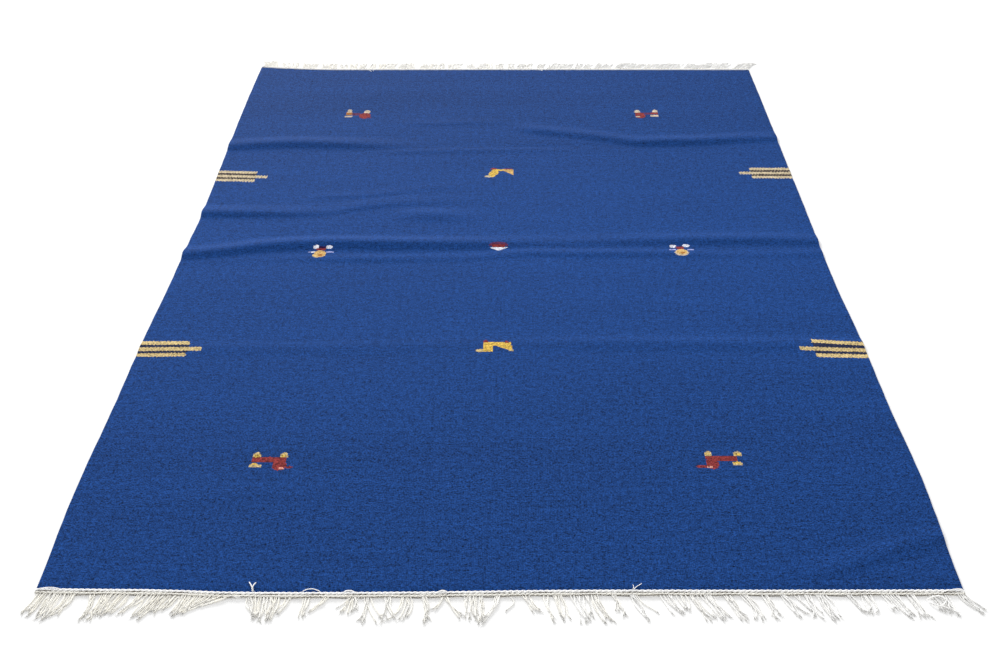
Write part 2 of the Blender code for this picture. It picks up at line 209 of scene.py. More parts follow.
# Small woven figures, charted in blocks. Columns of a block: yarn, left, right, low and high in
# millimetres from the figure's middle, and its form.
MOTIFS = {
    "near_left_goat": ((-0.4792, -0.8482), [
        ("straw", -43, -26, 11, 27, "dome"), ("yellow", -39, -29, 11, 20, "block"),
        ("straw", 14, 31, 11, 27, "dome"), ("yellow", 18, 27, 13, 19, "block"),
        ("brick", -42, -26, -4, 11, "block"), ("brick", -26, 4, -4, 13, "block"),
        ("brick", 2, 30, -12, 11, "block"), ("brick", 2, 31, -29, 5, "round"),
        ("brick", 28, 46, -22, -16, "round"), ("yellow", -42, -29, -14, -5, "dome"),
        ("straw", -46, -19, -19, -12, "block"), ("rose", 16, 28, -26, -20, "round"),
    ]),
    "near_right_goat": ((0.4579, -0.8419), [
        ("straw", -33, -17, 13, 28, "dome"), ("yellow", -31, -21, 18, 22, "block"),
        ("straw", 28, 46, 13, 28, "dome"), ("yellow", 32, 42, 16, 21, "block"),
        ("brick", -31, -8, -10, 13, "block"), ("brick", -32, -6, -28, 5, "round"),
        ("brick", -53, -28, -25, -15, "round"), ("brick", -8, 34, -3, 13, "block"),
        ("straw", 22, 44, -16, -9, "block"), ("yellow", 22, 40, -10, -4, "round"),
        ("rose", -33, -18, -24, -19, "round"),
    ]),
    "near_middle_goat": ((-0.0183, -0.4430), [
        ("straw", -46, -22, -20, -8, "round"), ("yellow", -27, -5, -18, 18, "block"),
        ("yellow", -20, 37, 5, 20, "block"), ("yellow", 0, 41, -15, 6, "fall"),
        ("straw", 33, 43, -16, -10, "block"), ("brick", -28, -17, 18, 28, "dome"),
        ("brick", 22, 31, 17, 26, "dome"),
    ]),
    "left_mask": ((-0.4871, -0.0060), [
        ("cream", -23, -6, 7, 28, "round"), ("cream", 11, 29, 7, 27, "round"),
        ("dusk", -7, 11, 10, 22, "block"), ("brick", -12, 13, -1, 10, "block"),
        ("cream", -24, -6, -13, -7, "block"), ("lilac", -34, -24, -13, -8, "block"),
        ("lilac", 15, 36, -13, -7, "block"), ("straw", -20, 8, -37, -16, "round"),
        ("gold", -17, 16, -36, -2, "round"), ("umber", -5, 8, -31, -20, "round"),
    ]),
    "middle_diamond": ((-0.0142, 0.0131), [
        ("mauve", -26, 25, 4, 24, "dome"), ("brick", -18, 17, -4, 12, "block"),
        ("cream", -27, 27, -20, -3, "wedge"),
    ]),
    "right_mask": ((0.4710, 0.0030), [
        ("cream", -29, -11, 4, 20, "round"), ("cream", 6, 24, 7, 24, "round"),
        ("mauve", -13, 8, 2, 12, "block"), ("brick", -11, 8, -3, 7, "block"),
        ("lilac", -31, -13, -8, -3, "block"), ("lilac", 16, 35, -8, -3, "block"),
        ("oatmeal", -18, 19, -35, -4, "round"), ("gold", -14, 16, -29, -3, "round"),
        ("umber", -3, 9, -24, -17, "round"),
    ]),
    "far_middle_goat": ((-0.0151, 0.4301), [
        ("sand", -45, -20, -27, -15, "round"), ("yellow", -31, -11, -25, 12, "round"),
        ("yellow", -25, -3, -12, 24, "round"), ("yellow", -18, 20, 13, 24, "block"),
        ("gold", 2, 41, -14, 23, "fall"),
        ("brick", -27, -9, 22, 32, "dome"), ("brick", 14, 38, 22, 27, "block"),
    ]),
    "far_left_goat": ((-0.4768, 0.8432), [
        ("oatmeal", -37, -21, 3, 28, "dome"), ("umber", -38, -20, -16, 4, "block"),
        ("oatmeal", -41, -17, -31, -20, "block"), ("mauve", -19, 7, -17, 0, "block"),
        ("oatmeal", 18, 39, -1, 22, "dome"), ("brick", 5, 42, -42, 1, "round"),
        ("mauve", 30, 46, -40, -30, "round"),
    ]),
    "far_right_goat": ((0.4572, 0.8470), [
        ("oatmeal", -39, -21, -3, 19, "dome"), ("brick", -38, -10, -20, -2, "block"),
        ("brick", -39, -6, -42, -8, "round"), ("oatmeal", -37, -24, -34, -27, "block"),
        ("mauve", -8, 14, -16, -2, "block"), ("oatmeal", 19, 36, -1, 21, "dome"),
        ("brick", 13, 35, -14, 0, "block"), ("oatmeal", 10, 37, -31, -17, "block"),
    ]),
}

# Groups of three bars at the selvedges, with dark yarn between them. Columns of a group: side, yarn, dark
# yarn, how far the edges zigzag, and rows of a bar's inner end x, its lower and upper edge there, and its
# drop on the way to the right.
BAR_GROUPS = [
    (-1, "straw", "navy", 0.0014, [
        (-0.744, -0.4362, -0.4225, -0.001), (-0.711, -0.4608, -0.4462, -0.002),
        (-0.744, -0.4847, -0.4710, -0.003),
    ]),
    (1, "straw", "navy", 0.0014, [
        (0.732, -0.4228, -0.4098, 0.0115), (0.698, -0.4526, -0.4380, 0.0065),
        (0.732, -0.4803, -0.4660, 0.0040),
    ]),
    (-1, "sand", "bark", 0.0024, [
        (-0.734, 0.4310, 0.4450, 0.006), (-0.700, 0.4035, 0.4180, 0.006), (-0.733, 0.3810, 0.3950, 0.006),
    ]),
    (1, "sand", "bark", 0.0024, [
        (0.7275, 0.4490, 0.4640, 0.001), (0.693, 0.4240, 0.4385, 0.001), (0.726, 0.3985, 0.4130, 0.001),
    ]),
]
WEDGE_FOOT = 0.12
BAR_ZIGZAG_PITCH = 0.0088
BAR_LENGTH = 0.12
BAR_OUTER_X = 0.90
BAR_OVERLAP = 0.003
YARN_WANDER_WAVES = 150.0
YARN_WANDER = (0.0009, 0.0007)
YARN_WANDER_SEED = 113

# The weave, and the stretch of its length that is coloured brighter
WARP_PITCH = 0.0034
WEFT_PITCH = 0.0017
BRIGHT_SWELL_Y = 0.02
BRIGHT_SWELL = 0.17
BRIGHT_SWELL_WAVES = 1.9
PALE_HAIR = (0.045, 0.100, 0.245, 1.0)

# The near fringe, sheaf by sheaf, in millimetres. Columns: x of its roots from left to right, x of its tips
# from left to right, how far the tips are from the woven end, how far its middle bows to the right, yarns.
NEAR_SHEAVES = [
    (-850, -836, -868, -855, 61, 0, 5), (-839, -821, -853, -836, 67, 0, 6),
    (-828, -806, -835, -819, 72, 2, 6), (-806, -777, -816, -799, 64, 4, 6),
    (-755, -743, -757, -747, 71, 2, 5), (-731, -714, -745, -732, 70, 0, 6),
    (-718, -705, -731, -722, 68, 0, 3), (-705, -688, -722, -709, 56, 0, 4),
    (-688, -679, -709, -698, 56, 2, 3), (-668, -659, -696, -689, 63, 4, 2),
    (-661, -644, -690, -675, 46, 4, 3), (-648, -631, -664, -656, 62, 0, 3),
    (-631, -614, -656, -646, 69, 0, 6), (-620, -603, -638, -626, 55, 2, 5),
    (-607, -589, -623, -609, 49, 4, 5), (-592, -570, -597, -587, 58, 4, 5),
    (-574, -548, -589, -574, 55, 4, 6), (-546, -519, -574, -562, 46, 2, 5),
    (-519, -482, -558, -538, 36, 0, 4), (-467, -452, -452, -443, 61, -2, 5),
    (-454, -438, -444, -435, 61, 0, 4), (-440, -421, -436, -420, 68, 2, 6),
    (-423, -403, -424, -406, 63, 4, 6), (-390, -381, -410, -401, 50, 4, 3),
    (-360, -344, -363, -354, 61, 0, 4), (-322, -311, -351, -342, 45, 6, 3),
    (-281, -274, -303, -299, 40, 4, 1), (-278, -267, -287, -272, 54, 2, 4),
    (-270, -261, -266, -259, 42, 0, 3), (-250, -239, -254, -249, 70, 4, 4),
    (-245, -237, -220, -206, 70, -6, 2), (-215, -204, -215, -208, 68, 4, 4),
    (-210, -201, -197, -187, 66, -4, 2), (-182, -173, -199, -187, 64, 6, 3),
    (-177, -167, -176, -167, 66, 8, 3), (-147, -134, -141, -131, 71, 4, 6),
    (-107, -103, -123, -114, 41, 4, 2), (-105, -96, -77, -72, 60, -2, 3),
    (-70, -55, -63, -54, 65, 0, 4), (-57, -39, -48, -30, 72, -2, 7),
    (-41, -28, -34, -27, 68, 0, 3), (-9, 3, -30, -25, 75, 2, 4),
    (5, 16, 2, 9, 52, 13, 1), (38, 55, 61, 71, 53, 0, 4),
    (80, 93, 95, 102, 72, -6, 3), (93, 112, 104, 120, 70, 2, 6),
    (126, 145, 149, 158, 75, 0, 4), (147, 163, 160, 169, 68, 0, 4),
    (165, 180, 186, 204, 75, -2, 7), (200, 211, 223, 232, 68, 2, 3),
    (207, 213, 211, 220, 52, 0, 2), (235, 246, 260, 271, 70, 0, 5),
    (242, 249, 281, 286, 63, -2, 1), (291, 315, 316, 332, 54, -2, 5),
    (319, 341, 333, 344, 47, 0, 4), (346, 361, 369, 380, 73, -2, 5),
    (365, 389, 393, 413, 68, 0, 7), (405, 422, 429, 441, 70, 0, 5),
    (438, 449, 459, 477, 73, 4, 5), (475, 488, 492, 507, 66, 2, 5),
    (510, 521, 536, 551, 61, 0, 5), (528, 548, 553, 564, 50, 0, 2),
    (552, 568, 566, 578, 66, 0, 5), (575, 597, 593, 615, 71, 0, 8),
    (629, 645, 648, 660, 52, 0, 4), (658, 676, 665, 685, 55, 2, 6),
    (693, 711, 709, 721, 48, 0, 3), (707, 729, 734, 747, 66, 2, 5),
    (740, 757, 755, 774, 64, 0, 6), (777, 799, 798, 812, 50, 2, 4),
    (795, 819, 810, 827, 57, 2, 5), (837, 850, 862, 876, 54, -2, 7),
]

# How the far tassels lie. Columns: x, lean to the right in degrees, reach away from their roots.
FAR_TASSELS = [
    (-0.85, -6, 0.056), (-0.55, 0, 0.058), (-0.20, 2, 0.060), (0.10, 10, 0.058),
    (0.45, 25, 0.058), (0.72, 28, 0.056), (0.85, 31, 0.056),
]
FAR_TASSEL_COUNT = 50
FAR_ROOTS_AWAY = 0.0116
FAR_ROOT_SPREAD = 0.0250
FAR_TIP_SPREAD = 0.0260
FAR_TIP_SPREADS = (0.7, 1.3)
FAR_ROOT_STRAY = 0.005
FAR_REACHES = (0.78, 1.0)
FAR_LEAN_STRAYS = (-9.0, 5.0)
FAR_BOW_STRAY = 0.003
FAR_YARN_COUNTS = (8, 9, 10, 11)

# Loose ends of twine that lie on the wool or the floor, in millimetres. Columns: radius, and its points.
LOOSE_ENDS = {
    "near": [
        (1.2, [(-456, -1209, 4), (-458, -1202, 6), (-461, -1195, 6), (-466, -1187, 5)]),
        (1.2, [(-455, -1208, 4), (-457, -1201, 6), (-456, -1195, 6), (-453, -1188, 5)]),
        (0.9, [(-364, -1209, 4), (-357, -1205, 5), (-348, -1203, 5), (-340, -1205, 5), (-331, -1209, 4)]),
        (1.4, [(-288, -1211, 4), (-283, -1208, 5), (-273, -1208, 5), (-267, -1211, 4)]),
        (1.5, [(-115, -1210, 4), (-109, -1207, 5), (-103, -1207, 5), (-96, -1210, 4)]),
        (0.7, [(244, -1204, 5), (250, -1197, 6), (255, -1193, 6), (262, -1187, 5)]),
        (0.6, [(243, -1204, 5), (246, -1197, 6), (245, -1190, 5)]),
        (0.9, [(-852, -1206, 6), (-838, -1203, 6), (-826, -1203, 6), (-812, -1206, 6)]),
        (1.1, [(808, -1206, 5), (824, -1202, 6), (840, -1199, 6), (850, -1199, 5)]),
        (1.3, [(-494, -1219, 2), (-486, -1222, 3), (-476, -1221, 3), (-468, -1218, 2)]),
        (1.2, [
            (778, -1222, 3), (793, -1216, 5), (807, -1217, 5), (812, -1226, 5), (800, -1237, 4),
            (786, -1234, 3),
        ]),
        (1.2, [(803, -1216, 4), (815, -1228, 5), (813, -1240, 4), (820, -1248, 3), (830, -1252, 2)]),
        (1.1, [(780, -1226, 3), (790, -1236, 4), (804, -1240, 4), (818, -1246, 2)]),
        (1.1, [(700, -1232, 3), (707, -1240, 4), (717, -1240, 4), (722, -1248, 2)]),
    ],
    "far": [
        (0.9, [(-474, 1190, 5), (-472, 1182, 6), (-466, 1174, 5)]),
        (0.8, [(-458, 1190, 5), (-461, 1182, 6), (-459, 1176, 5)]),
        (0.8, [(118, 1190, 5), (122, 1183, 6), (128, 1180, 5)]),
    ],
}

# The far fringe's yarns are painted at 0.80 of the near fringe's brightness: painted shade.
ENDS = {
    "near": {"outward": -1, "edge": 0, "seed": 111, "shade": 1.0},
    "far": {"outward": 1, "edge": 1, "seed": 112, "shade": 0.80},
}

# Cords and yarns
# Radii, pitches and strays in metres. The lengths, shades and thicknesses are shares of the usual one.
TWINE_STRAND = 0.0018
TWINE_PITCH = 0.0220
TWINE_STEPS = 10
TWINE_END_TAPER = 0.6
YARN_RADIUS = 0.00125
YARN_STEPS = 9
YARN_SIDES = 6
YARN_START = 0.0058
YARN_ROOT_RISE = 0.0014
YARN_BOW_STRAY = 0.0028
YARN_WAVE = 0.0018
YARN_CURL = 0.0060
YARN_ROOT_STRAY = 0.0006
YARN_TIP_STRAY = 0.0034
YARN_LIFTS = (0.0002, 0.0011)
YARN_LIFT_STRAY = 0.0006
YARN_LENGTHS = (0.82, 1.03)
YARN_SHADES = (0.95, 1.0)
YARN_THICKNESSES = (0.82, 1.05)
YARN_TIP_SWELL = 1.15
PLY_PITCH = 0.0070
TWINE_PLY_PITCH = 0.0060
TWINE_SIDES = 8
ROOT_ROW_STEPS = 8
FRAY_RADII = (0.0008, 0.0006, 0.0002)
FRAY_SIDES = 4
FRAYS = 3
FRAY_SWINGS = ((-0.9, 0.9), (-0.4, 0.4), (-0.3, 0.1))
FRAY_LENGTHS = (0.003, 0.006)
FRAY_LOWEST = 0.0005
FRAY_OVERLAP = 0.0015
LOOSE_END_TAPER = 1.6
LOOSE_END_STEPS = 4
CORD_WHITE = (0.98, 0.98, 0.97)
COTTON_WHITE = (0.98, 0.97, 0.94)
COTTON_CREAM = (0.98, 0.94, 0.84)
# The frayed tips are painted grey: painted shade among their loose fibres.
FRAY_PAINTED_SHADE = (0.86, 0.85, 0.82)
# How cream a sheaf is at the middle, how fast that falls to the right, and how far a sheaf strays from it
WARMTH_MIDDLE = 0.40
WARMTH_FALL = 0.8
WARMTH_STRAY = 0.3
# Brown for the thin strands beside the cord: painted shadow under the cord.
PAINTED_SHADOW_BROWN = (0.13, 0.11, 0.08)
# How much darker the grooves between the plies are painted: painted shade.
TWINED_GROOVE_SHADE = 0.06
FRINGE_GROOVE_SHADE = 0.04

# The rows beside a twined cord: a looser cream row of two strands, and thin brown strands that come and go,
# which are painted shadow under the cord.
# Columns: how far out it runs, its height, how far it winds, the pitch of its winding, its radius, the
# part of a turn that it starts at, and its tint.
ROOT_ROWS = [
    (0.0096, 0.0027, 0.0010, 0.019, 0.0014, 0.00, COTTON_CREAM),
    (0.0096, 0.0027, 0.0010, 0.019, 0.0014, 0.50, COTTON_CREAM),
    # Two thin brown strands: painted shadow under the cord.
    (0.0069, 0.0030, 0.0012, 0.083, 0.0006, 0.10, PAINTED_SHADOW_BROWN),
    (0.0126, 0.0022, 0.0013, 0.127, 0.0006, 0.30, PAINTED_SHADOW_BROWN),
]


def read_table(table, place):
    """Reads the columns after the first, at a place between a table's rows, on a smooth curve."""
    place = min(max(place, table[0][0]), table[-1][0])
    row = 0
    while place > table[row + 1][0]:
        row += 1
    low, high = table[row], table[row + 1]
    before, after = table[max(row - 1, 0)], table[min(row + 2, len(table) - 1)]
    span = high[0] - low[0]
    share = (place - low[0]) / span
    values = []
    for column in range(1, len(low)):
        slope_low = (high[column] - before[column]) / (high[0] - before[0]) * span
        slope_high = (after[column] - low[column]) / (after[0] - low[0]) * span
        rise = high[column] - low[column]
        curved = (slope_low + slope_high - 2 * rise) * share + (3 * rise - 2 * slope_low - slope_high)
        values.append(low[column] + slope_low * share + curved * share * share)
    return values


def end_point(share, edge):
    """A point of a woven end, straight between the CAD cloth's columns."""
    column = min(int(share * END_COLUMNS), END_COLUMNS - 1)
    left, right = read_table(SELVEDGES, WOVEN_ENDS[0][1 + edge])
    points = []
    for station in (column, column + 1):
        x = left + (right - left) * station / END_COLUMNS
        points.append((x, read_table(WOVEN_ENDS, x)[edge]))
    between = share * END_COLUMNS - column
    return tuple(a + (b - a) * between for a, b in zip(*points))


def ridge_lift(ridges, x, y):
    """How high a list of folds or creases lifts the cloth at a place."""
    lift = 0.0
    for far_side, near_side, crest in ridges:
        if not crest[0][0] <= x <= crest[-1][0]:
            continue
        crest_y, height = read_table(crest, x)
        away = y - crest_y
        spread = far_side if away > 0 else near_side
        if abs(away) < spread:
            lift += height * (0.5 + 0.5 * math.cos(math.pi * away / spread))
    return lift


def cloth_lift(x, y):
    """How high the cloth's underside is off the floor: folds, fine creases and a slight cockle."""
    cockle = noise.noise(Vector((x / COCKLE_LENGTH, y / COCKLE_LENGTH, COCKLE_PLACE)))
    lift = ridge_lift(FOLDS, x, y) + ridge_lift(CREASES, x, y) + COCKLE * (1.0 + cockle)
    centre = abs(x - CENTRE_CREASE_X) / CENTRE_CREASE_SPREAD
    if centre < 1.0:
        lift -= CENTRE_CREASE_DEPTH * (0.5 + 0.5 * math.cos(math.pi * centre))
    # The cloth lies flat on the floor at its two woven ends.
    end_distance = min(y - WOVEN_ENDS[0][1], WOVEN_ENDS[4][2] - y)
    return max(lift, 0.0) * min(1.0, max(end_distance, 0.0) / FLAT_END)


def cloth_rows():
    """The shares of the way along the rug at which the cloth has a row of points."""
    near, far = WOVEN_ENDS[0][1], WOVEN_ENDS[0][2]
    bands = []
    for far_side, near_side, crest in FOLDS:
        places = [row[1] for row in crest]
        bands.append((min(places) - near_side, max(places) + far_side))
    rows = [near]
    while rows[-1] < far:
        y = rows[-1]
        in_fold = any(low - FOLD_ROW_STEP < y < high for low, high in bands)
        rows.append(y + (FOLD_ROW_STEP if in_fold else FLAT_ROW_STEP))
    span = rows[-1] - near
    return [(y - near) / span for y in rows]


def cloth_place(across, along):
    """The x and y of the cloth at shares of the way across and along it."""
    near_x, near_y = end_point(across, 0)
    far_x, far_y = end_point(across, 1)
    y = near_y + (far_y - near_y) * along
    left, right = read_table(SELVEDGES, y)
    middle_x = left + (right - left) * across
    straight_x = near_x + (far_x - near_x) * along
    inside = min(1.0, along / END_STRETCH, (1.0 - along) / END_STRETCH)
    x = straight_x + (middle_x - straight_x) * inside
    # The last warps wander in and out where the weft turns round them.
    rim = max(0.0, 1.0 - min(across, 1.0 - across) * EDGE_WOBBLE_COLUMNS) * inside
    x += rim * EDGE_WOBBLE * noise.noise(Vector((y * EDGE_WOBBLE_WAVES, across * EDGE_WOBBLE_ACROSS, 0.0)))
    return x, y


def motif_shapes():
    """Every block of the figures and bars, as yarn, left, right, low, high, form and drop.

    The form of a bar, and of the dark yarn between bars, is how far its edges zigzag.
    """
    shapes = []
    for (middle_x, middle_y), blocks in MOTIFS.values():
        for yarn, left, right, low, high, form in blocks:
            across = (middle_x + left / 1000, middle_x + right / 1000)
            up = (middle_y + low / 1000, middle_y + high / 1000)
            shapes.append((yarn, *across, *up, form, 0.0))
    for side, yarn, dark_yarn, zigzag, bars in BAR_GROUPS:
        between = (bars[0][0], bars[2][1] + BAR_OVERLAP, bars[0][2] - BAR_OVERLAP, bars[1][3])
        for name, (inner_x, low, high, drop) in [(dark_yarn, between)] + [(yarn, bar) for bar in bars]:
            left, right = sorted((inner_x, side * BAR_OUTER_X))
            shapes.append((name, left, right, low, high, zigzag, drop))
    return shapes


def in_shape(x, y, left, right, low, high, form, drop):
    """Whether a place lies in a block of a figure or in a bar."""
    if isinstance(form, float):
        run = (x - left) / BAR_LENGTH if left > 0 else 1.0 + (x - right) / BAR_LENGTH
        y += drop * run
        y += form * (4.0 * abs((x / BAR_ZIGZAG_PITCH) % 1.0 - 0.5) - 1.0)
    if not (left <= x <= right and low <= y <= high):
        return False
    across = (x - left) / (right - left)
    up = (y - low) / (high - low)
    if form == "round":
        return (2 * across - 1) ** 2 + (2 * up - 1) ** 2 <= 1.0
    if form == "dome":
        return (2 * across - 1) ** 2 + up**3 <= 1.0
    if form == "wedge":
        return abs(2 * across - 1) <= WEDGE_FOOT + (1.0 - WEDGE_FOOT) * up
    if form == "fall":
        return up >= 1.0 - across
    return True


def shapes_near(shapes, x, y):
    """The shapes that come within reach of a place on the chart."""
    near = []
    for shape in shapes:
        _, left, right, low, high, _, drop = shape
        beside = left < x + SHAPE_TILE_REACH and right > x - SHAPE_TILE_REACH
        level = low - drop < y + SHAPE_TILE_REACH and high > y - SHAPE_TILE_REACH
        if beside and level:
            near.append(shape)
    return near


def charted_place(x, y):
    """Where a place on the lifted cloth falls on the flat chart of the figures, as the camera sees it."""
    height = CAMERA_PLACE[2] - CLOTH_THICKNESS
    scale = height / (height - cloth_lift(x, y))
    camera_x, camera_y, _ = CAMERA_PLACE
    return camera_x + (x - camera_x) * scale, camera_y + (y - camera_y) * scale


def yarn_at(x, y, shapes):
    """The colour of the weft at a place."""
    wander = noise.noise_vector(Vector((x * YARN_WANDER_WAVES, y * YARN_WANDER_WAVES, 0.0)))
    x, y = x + wander.x * YARN_WANDER[0], y + wander.y * YARN_WANDER[1]
    yarn = "blue"
    for name, left, right, low, high, form, drop in shapes:
        if in_shape(x, y, left, right, low, high, form, drop):
            yarn = name
    return YARNS[yarn]


def clear_selection():
    """Deselects everything, so that an operator acts only on what it is given."""
    bpy.ops.object.select_all(action="DESELECT")


def apply_modifiers(piece):
    """Applies a piece's modifiers in their order."""
    clear_selection()
    piece.select_set(True)
    bpy.context.view_layer.objects.active = piece
    for modifier in list(piece.modifiers):
        bpy.ops.object.modifier_apply(modifier=modifier.name)
    clear_selection()


def new_piece(name, bm, material):
    """Puts a finished bmesh in the scene as a piece with one material."""
    mesh = bpy.data.meshes.new(name)
    bm.to_mesh(mesh)
    bm.free()
    mesh.shade_smooth()
    mesh.materials.append(material)
    piece = bpy.data.objects.new(name, mesh)
    bpy.context.scene.collection.objects.link(piece)
    return piece


class NodeTree:
    """A short way to add and join shader nodes."""

    def __init__(self, name):
        self.material = bpy.data.materials.new(name)
        self.material.use_nodes = True
        self.tree = self.material.node_tree
        self.shader = self.tree.nodes["Principled BSDF"]

    def set_input(self, socket, value):
        if isinstance(value, bpy.types.NodeSocket):
            self.tree.links.new(value, socket)
        elif value is not None:
            socket.default_value = value

    def math(self, operation, first, second=None):
        node = self.tree.nodes.new("ShaderNodeMath")
        node.operation = operation
        self.set_input(node.inputs[0], first)
        self.set_input(node.inputs[1], second)
        return node.outputs[0]

    def join(self, x, y, z=0.0):
        node = self.tree.nodes.new("ShaderNodeCombineXYZ")
        for socket, value in zip(node.inputs, (x, y, z)):
            self.set_input(socket, value)
        return node.outputs[0]

    def split(self, vector):
        node = self.tree.nodes.new("ShaderNodeSeparateXYZ")
        self.set_input(node.inputs[0], vector)
        return node.outputs

    def noise(self, vector, scale, detail=2.0):
        node = self.tree.nodes.new("ShaderNodeTexNoise")
        self.set_input(node.inputs["Vector"], vector)
        node.inputs["Scale"].default_value = scale
        node.inputs["Detail"].default_value = detail
        return node.outputs[0]

    def spread(self, value, low, high):
        """Stretches a noise from its usual middle range to a range of its own."""
        node = self.tree.nodes.new("ShaderNodeMapRange")
        for socket, number in zip(node.inputs[1:5], (0.3, 0.7, low, high)):
            socket.default_value = number
        self.set_input(node.inputs[0], value)
        return node.outputs[0]

    def mix(self, share, first, second, blend="MIX"):
        node = self.tree.nodes.new("ShaderNodeMix")
        node.data_type = "RGBA"
        node.blend_type = blend
        self.set_input(node.inputs[0], share)
        self.set_input(node.inputs[6], first)
        self.set_input(node.inputs[7], second)
        return node.outputs[2]

    def bump(self, height, distance, strength):
        node = self.tree.nodes.new("ShaderNodeBump")
        node.inputs["Strength"].default_value = strength
        node.inputs["Distance"].default_value = distance
        self.set_input(node.inputs["Height"], height)
        self.set_input(self.shader.inputs["Normal"], node.outputs[0])

    def yarn_colour(self):
        node = self.tree.nodes.new("ShaderNodeVertexColor")
        node.layer_name = "yarn"
        return node.outputs[0]


def along_weave(tree, x, y, x_squeeze, y_squeeze=1.0):
    """A place whose noise is drawn out along the weft or the warp."""
    if x_squeeze != 1.0:
        x = tree.math("MULTIPLY", x, x_squeeze)
    if y_squeeze != 1.0:
        y = tree.math("MULTIPLY", y, y_squeeze)
    return tree.join(x, y)


def make_wool():
    """Weft-faced wool: ribs over the warps, short weft beads between them, heathered dye, and painted shade
    in the grooves of the weave.
    """
    wool = NodeTree("heathered_wool_weave")
    place = wool.tree.nodes.new("ShaderNodeTexCoord").outputs["Object"]
    x, y, _ = wool.split(place)
    drift = wool.spread(wool.noise(place, 60.0), -0.0009, 0.0009)
    warp = wool.math("DIVIDE", wool.math("ADD", x, drift), WARP_PITCH)
    rib = wool.math("ABSOLUTE", wool.math("SINE", wool.math("MULTIPLY", warp, math.pi)))
    stagger = wool.math("MULTIPLY", wool.math("MODULO", wool.math("FLOOR", warp), 2.0), 0.5)
    weft = wool.math("ADD", wool.math("DIVIDE", wool.math("ADD", y, drift), WEFT_PITCH), stagger)
    bead = wool.math("ABSOLUTE", wool.math("SINE", wool.math("MULTIPLY", weft, math.pi)))
    weave = wool.math("MULTIPLY", rib, wool.math("ADD", bead, 0.4))

    flecks = wool.noise(along_weave(wool, x, y, 0.75), 340.0, 3.0)
    weft_streaks = wool.noise(along_weave(wool, x, y, 0.020), 260.0, 2.0)
    warp_streaks = wool.noise(along_weave(wool, x, y, 1.0, 0.030), 170.0, 2.0)
    dye_bands = wool.noise(along_weave(wool, x, y, 0.10), 9.0, 2.0)
    heather = wool.noise(along_weave(wool, x, y, 0.70), 165.0, 2.5)
    mottle = wool.noise(along_weave(wool, x, y, 0.60), 80.0, 2.0)
    shade = wool.spread(flecks, 0.32, 1.68)
    for drift_of_dye, low, high in (
        (weft_streaks, -0.10, 0.10), (heather, -0.33, 0.33), (mottle, -0.17, 0.17),
        (warp_streaks, -0.04, 0.04), (dye_bands, -0.05, 0.07),
    ):
        shade = wool.math("ADD", shade, wool.spread(drift_of_dye, low, high))
    # A broad stretch along the rug's length is coloured brighter.
    from_swell = wool.math("SUBTRACT", y, BRIGHT_SWELL_Y)
    swell = wool.math("COSINE", wool.math("MULTIPLY", from_swell, BRIGHT_SWELL_WAVES))
    swell = wool.math("MULTIPLY", wool.math("MAXIMUM", swell, 0.0), BRIGHT_SWELL)
    shade = wool.math("ADD", shade, swell)
    # The grooves between the ribs and beads are painted darker: painted shade.
    shade = wool.math("MULTIPLY", shade, wool.math("ADD", wool.math("MULTIPLY", weave, 0.22), 0.86))

    dyed = wool.mix(1.0, wool.yarn_colour(), wool.join(shade, shade, shade), "MULTIPLY")
    pale_hairs = wool.spread(wool.noise(place, 620.0, 2.0), -0.25, 0.16)
    pale_hairs = wool.math("MAXIMUM", pale_hairs, 0.0)
    worn = wool.mix(pale_hairs, dyed, PALE_HAIR)
    wool.set_input(wool.shader.inputs["Base Color"], worn)
    wool.shader.inputs["Roughness"].default_value = 0.92
    wool.shader.inputs["Sheen Weight"].default_value = 0.008
    wool.shader.inputs["Sheen Roughness"].default_value = 0.45
    wool.shader.inputs["Sheen Tint"].default_value = (0.80, 0.86, 1.0, 1.0)
    wool.shader.inputs["Specular IOR Level"].default_value = 0.04
    wool.bump(wool.math("ADD", weave, wool.math("MULTIPLY", flecks, 0.8)), 0.0006, 0.55)
    return wool.material


def make_cotton(name, groove_shade):
    """Two-ply cotton: its plies wind round the yarn's own map, with shade in the grooves between them."""
    cotton = NodeTree(name)
    uv = cotton.tree.nodes.new("ShaderNodeUVMap")
    uv.uv_map = "ply"
    around, along, _ = cotton.split(uv.outputs[0])
    turn = cotton.math("MULTIPLY", cotton.math("ADD", around, along), 2.0 * math.pi)
    ply = cotton.math("ABSOLUTE", cotton.math("SINE", turn))
    place = cotton.tree.nodes.new("ShaderNodeTexCoord").outputs["Object"]
    fibres = cotton.noise(place, 1400.0, 3.0)
    patches = cotton.noise(place, 28.0, 3.0)
    shade = cotton.math("ADD", cotton.spread(fibres, 0.93, 1.03), cotton.spread(patches, -0.05, 0.04))
    # The grooves between the plies are painted darker: painted shade.
    groove_darkening = cotton.math("MINIMUM", cotton.math("ADD", cotton.math("MULTIPLY", ply, 2.2), 1.0 - groove_shade), 1.0)
    shade = cotton.math("MULTIPLY", shade, groove_darkening)
    dyed = cotton.mix(1.0, cotton.yarn_colour(), cotton.join(shade, shade, shade), "MULTIPLY")
    cotton.set_input(cotton.shader.inputs["Base Color"], dyed)
    cotton.shader.inputs["Roughness"].default_value = 0.88
    cotton.shader.inputs["Subsurface Weight"].default_value = 0.6
    cotton.shader.inputs["Subsurface Radius"].default_value = (1.0, 1.0, 1.0)
    cotton.shader.inputs["Subsurface Scale"].default_value = 0.0025
    cotton.shader.inputs["Sheen Weight"].default_value = 0.35
    cotton.shader.inputs["Sheen Roughness"].default_value = 0.5
    cotton.shader.inputs["Specular IOR Level"].default_value = 0.15
    cotton.bump(cotton.math("ADD", ply, cotton.math("MULTIPLY", fibres, 0.3)), 0.0003, 0.1)
    return cotton.material


